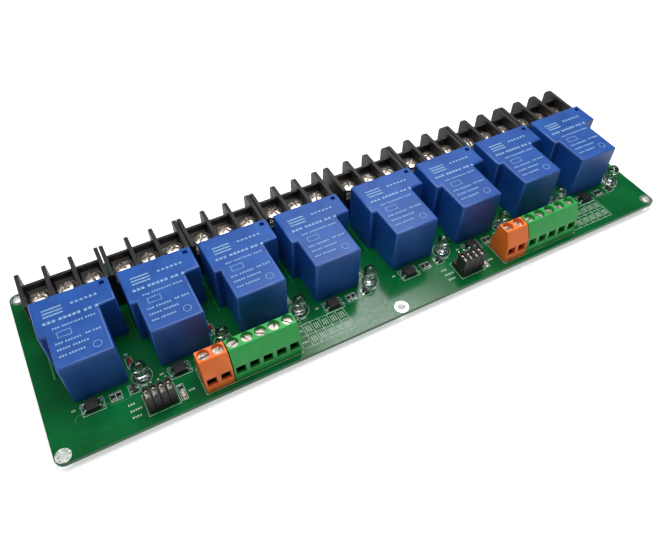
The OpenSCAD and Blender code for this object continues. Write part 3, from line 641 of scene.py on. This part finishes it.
def printBoard():
    thin, bars, wide = [], [], []
    for k in channels:
        low, high = boxOf(f"relay_{k}")
        x = (low.x + high.x) / 2
        front = low.y
        y = (boxOf("optocouplers")[0].y + boxOf("optocouplers")[1].y) / 2
        ledLow, ledHigh = boxOf(f"led_{k}")
        ledX, ledY = ledHigh.x - 2.9, (ledLow.y + ledHigh.y) / 2
        thin += [rectangle(x - 9.9, y - 2.7, x - 2.3, y + 2.4), circle(ledX, ledY, 3.6),
                 rectangle(x - 0.2, y - 1.7, x + 1.7, y + 1.7), rectangle(x + 1.9, y - 1.7, x + 3.8, y + 1.7),
                 rectangle(x + 6.3, y - 1.9, x + 9.9, y + 1.9),
                 rectangle(x + 8.7, front + 4.4, x + 10.9, front + 9.4)]
        bars += blockRow(x - 12.9, y + 1.2, (2,), 0.5, 0.25, 0)
        bars += blockRow(x + 10.6, y - 0.4, (3,), 0.5, 0.25, 0)
        bars += blockRow(x + 9.0, front + 11.0, (2,), 0.5, 0.25, 0)
    for g in groups:
        supplyLow, supplyHigh = boxOf(f"supply_terminal_{g}")
        inputLow, inputHigh = boxOf(f"input_terminal_{g}")
        headLow, headHigh = boxOf(f"header_base_{g}")
        thin += [rectangle(supplyLow.x - 0.35, supplyLow.y - 0.35, inputHigh.x + 0.35, inputHigh.y + 0.3),
                 rectangle(headLow.x - 0.45, headLow.y - 0.8, headHigh.x + 0.45, headHigh.y + 0.4)]
        x0, y0 = inputHigh.x + 1.2, inputLow.y + 0.6
        cell, rise, label = 3.5, 5.0, 3.6
        right = x0 + label + 5 * cell
        thin += [rectangle(x0, y0, right, y0 + 2 * rise), ([(x0, y0 + rise), (right, y0 + rise)], False)]
        thin += [([(x0 + label + cell * i, y0), (x0 + label + cell * i, y0 + 2 * rise)], False)
                 for i in range(5)]
        for i in range(5):
            for j in range(2):
                for b in range(3):
                    bx = x0 + label + cell * i + 0.95 + 0.8 * b
                    wide.append(([(bx, y0 + rise * j + 1.1), (bx, y0 + rise * j + rise - 1.1)], False))
        for j in range(2):
            bars += blockRow(x0 + 0.5, y0 + rise * (j + 0.5), (3,), 0.6, 0.3, 0)
        for row, counts in enumerate(((4,), (5,), (3,))):
            bars += blockRow(headLow.x - 5.6, headLow.y + 1.2 + 2.54 * row, counts, 0.55, 0.3, 0)
        px = supplyLow.x - 7.4
        thin += [rectangle(px - 1.1, boardLow.y + 3.9, px + 1.1, boardLow.y + 7.3),
                 rectangle(px - 1.1, boardLow.y + 7.5, px + 1.1, boardLow.y + 10.4)]
        bars += blockRow(px + 2.0, boardLow.y + 6.6, (3,), 0.55, 0.3, 0)
    height = boardTop
    finishPiece(layLines(thin, boardInk["line"], boardInk["thickness"], height), "printedOutlines", printInk,
                0)
    finishPiece(layLines(bars, boardInk["bar"], boardInk["thickness"], height), "printedLabels", printInk,
                0)
    finishPiece(layLines(wide, 0.35, boardInk["thickness"], height), "printedTableMarks", printInk,
                0)


printBoard()
print("board print ready")


# ---- copper tracks under the mask ----

track = {"fine": 0.5, "broad": 1.1, "thickness": 0.06}


def layTracks():
    fine, broad = [], []
    for k in channels:
        low, high = boxOf(f"relay_{k}")
        x = (low.x + high.x) / 2
        y = (boxOf("optocouplers")[0].y + boxOf("optocouplers")[1].y) / 2
        fine += [([(x - 2.4, y + 1.27), (x - 0.9, y + 1.27), (x - 0.5, y + 0.95), (x + 0.3, y + 0.95)], False),
                 ([(x - 2.4, y - 1.27), (x - 1.3, y - 1.27), (x - 0.4, y - 2.6), (x + 6.2, y - 2.6),
                   (x + 7.0, y - 1.4)], False),
                 ([(x - 9.7, y - 1.27), (x - 11.4, y - 1.27), (x - 12.6, y - 2.6), (x - 12.6, y - 4.4)], False)]
        broad += [([(low.x - 0.9, high.y - 19), (low.x - 0.9, high.y - 2)], False)]
    finishPiece(layLines(fine, track["fine"], track["thickness"], boardTop), "fineTracks", coveredCopper,
                0)
    finishPiece(layLines(broad, track["broad"], track["thickness"], boardTop), "broadTracks", coveredCopper,
                0)


layTracks()
print("tracks ready")


# ---- stage, light and camera ----

stage = {"floorSize": 3.0, "floorGlow": 0.5, "worldFill": 0.2, "ceiling": 0.1}
overhead = {"size": (0.8, 0.28), "place": (0.0, 0.07, 0.62), "aim": (0, 0, 0), "watts": 3.6}
sideBox = {"size": (0.2, 0.17), "place": (0.24, 0.29, 0.62), "aim": (0, 0, 0), "watts": 1.2}
camera = {"azimuth": -29.21, "elevation": 50.02, "roll": 1.01, "distance": 254.4,
          "target": (-16.09, -10.62, 1.6), "lens": 35.02}


# plain paper sweep: near white, with a glow for the camera that keeps the shadow
def paperFloor():
    material, shader = newMaterial("paperFloor", "#E8E8E8", Roughness=0.9)
    path = addNode(material, "ShaderNodeLightPath")
    seen = addNode(material, "ShaderNodeMath", links={0: path.outputs["Is Camera Ray"],
                                                      1: path.outputs["Is Glossy Ray"]}, operation="MAXIMUM")
    clear = addNode(material, "ShaderNodeMath", links={0: seen.outputs[0],
                                                       1: path.outputs["Is Transmission Ray"]},
                    operation="MAXIMUM")
    glow = addNode(material, "ShaderNodeMath", {1: stage["floorGlow"]}, {0: clear.outputs[0]},
                   operation="MULTIPLY")
    shader.inputs["Emission Color"].default_value = (1, 1, 1, 1)
    material.node_tree.links.new(glow.outputs[0], shader.inputs["Emission Strength"])
    return material


def buildStage():
    deselectAll()
    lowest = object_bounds()[0].z
    bpy.ops.mesh.primitive_plane_add(size=stage["floorSize"], location=(0, 0, lowest))
    floor = bpy.context.object
    floor.name = "floor"
    floor.data.materials.append(paperFloor())
    bpy.ops.object.transform_apply(location=True, rotation=True, scale=True)
    hangLamp("overhead", overhead)
    hangLamp("sideBox", sideBox)


def hangLamp(name, lamp):
    bpy.ops.object.light_add(type="AREA", location=lamp["place"])
    box = bpy.context.object
    box.name = box.data.name = name
    box.data.shape = "RECTANGLE"
    box.data.size, box.data.size_y = lamp["size"]
    box.data.energy = lamp["watts"]
    box.rotation_euler = (Vector(lamp["aim"]) - box.location).to_track_quat("-Z", "Y").to_euler()


# white backdrop low down and a dim ceiling, for the camera, metal and glass; a plain even fill for the rest
def buildWorld():
    world = bpy.data.worlds.new("studio")
    bpy.context.scene.world = world
    world.use_nodes = True
    world.node_tree.nodes.clear()
    path = addNode(world, "ShaderNodeLightPath")
    seen = addNode(world, "ShaderNodeMath", links={0: path.outputs["Is Camera Ray"],
                                                   1: path.outputs["Is Glossy Ray"]}, operation="MAXIMUM")
    shown = addNode(world, "ShaderNodeMath", links={0: seen.outputs[0],
                                                    1: path.outputs["Is Transmission Ray"]},
                    operation="MAXIMUM")
    place = addNode(world, "ShaderNodeTexCoord")
    height = addNode(world, "ShaderNodeSeparateXYZ", links={"Vector": place.outputs["Generated"]})
    brightness = addNode(world, "ShaderNodeMapRange",
                         {"From Min": 0.12, "From Max": 0.45, "To Min": 1.0, "To Max": stage["ceiling"]},
                         {"Value": height.outputs["Z"]}, interpolation_type="SMOOTHSTEP")
    backdrop = addNode(world, "ShaderNodeBackground", links={"Strength": brightness.outputs["Result"]})
    backdrop.inputs["Color"].default_value = (1, 1, 1, 1)
    fill = addNode(world, "ShaderNodeBackground", {"Color": (1, 1, 1, 1), "Strength": stage["worldFill"]})
    mixed = addNode(world, "ShaderNodeMixShader", links={0: shown.outputs[0], 1: fill.outputs[0],
                                                         2: backdrop.outputs[0]})
    addNode(world, "ShaderNodeOutputWorld", links={"Surface": mixed.outputs[0]})


def placeCamera():
    azimuth, elevation = math.radians(camera["azimuth"]), math.radians(camera["elevation"])
    back = Vector((math.sin(azimuth) * math.cos(elevation), -math.cos(azimuth) * math.cos(elevation),
                   math.sin(elevation)))
    data = bpy.data.cameras.new("camera")
    data.lens = camera["lens"]
    data.clip_start = 0.01
    eye = bpy.data.objects.new("camera", data)
    bpy.context.scene.collection.objects.link(eye)
    eye.location = (Vector(camera["target"]) + back * camera["distance"]) * mm
    turn = back.to_track_quat("Z", "Y").to_matrix().to_4x4()
    roll = Matrix.Rotation(math.radians(camera["roll"]), 4, "Z")
    eye.rotation_euler = (turn @ roll).to_euler()
    bpy.context.scene.camera = eye


buildStage()
buildWorld()
placeCamera()
bpy.context.scene.view_settings.view_transform = "Standard"
print("stage ready")
